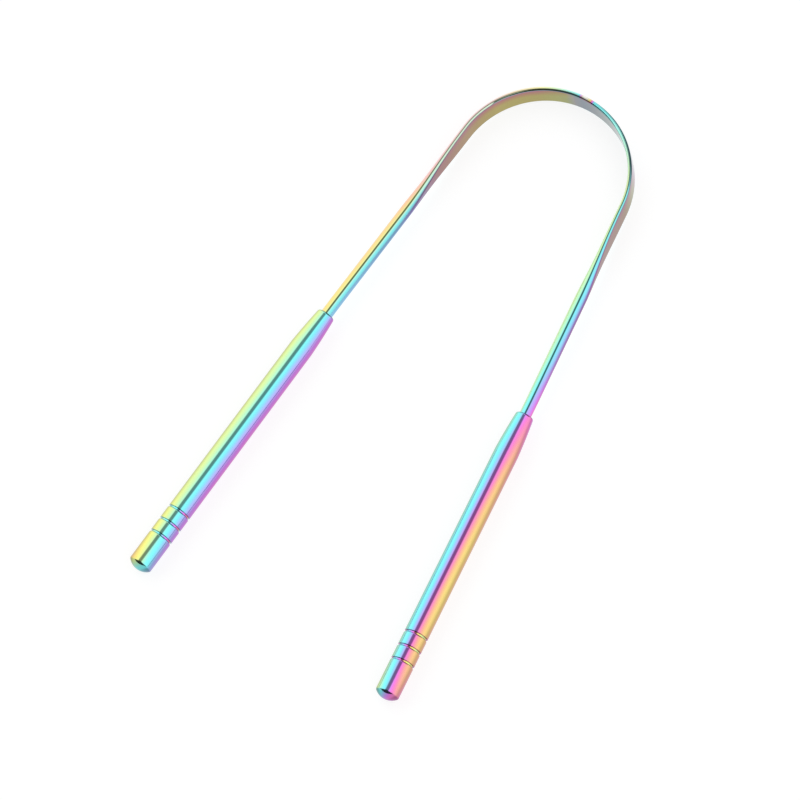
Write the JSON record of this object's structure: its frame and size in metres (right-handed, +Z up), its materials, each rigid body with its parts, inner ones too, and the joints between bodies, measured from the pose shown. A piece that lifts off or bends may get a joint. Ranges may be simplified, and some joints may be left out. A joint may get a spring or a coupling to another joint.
{
  "type": "tongue scraper",
  "caption": "U-shaped sprung steel tongue scraper: a flat scraping arch between slim, grooved round handles, with a polished rainbow finish.",
  "frame": {"origin": "on the surface that the scraper lies on, under the middle of its outline", "axes": "+Z up, +Y from the handles towards the scraping arch, +X across the arch"},
  "size_m": [0.0752, 0.1548, 0.007],
  "materials": {
    "band_finish": "mirror polished, thin rainbow coating",
    "stem_finish": "mirror polished, thin rainbow coating",
    "left_handle_finish": "mirror polished, thin rainbow coating",
    "right_handle_finish": "mirror polished, thin rainbow coating"
  },
  "bodies": {
    "arch": {"scraping_band": "band_finish"},
    "left_arm": {"left_stem": "stem_finish", "left_handle": "left_handle_finish"},
    "right_arm": {"right_stem": "stem_finish", "right_handle": "right_handle_finish"}
  },
  "joints": [
    {"name": "left_arm_flex", "type": "hinge", "parent": "arch", "child": "left_arm", "pos_m": [-0.0196, 0.06505, 0.00348], "axis": [0, 0, 1], "range_deg": [-8, 8], "stiffness_Nm_per_rad": 2.6},
    {"name": "right_arm_flex", "type": "hinge", "parent": "arch", "child": "right_arm", "pos_m": [0.0196, 0.06505, 0.00348], "axis": [0, 0, -1], "range_deg": [-8, 8], "stiffness_Nm_per_rad": 2.6}
  ]
}
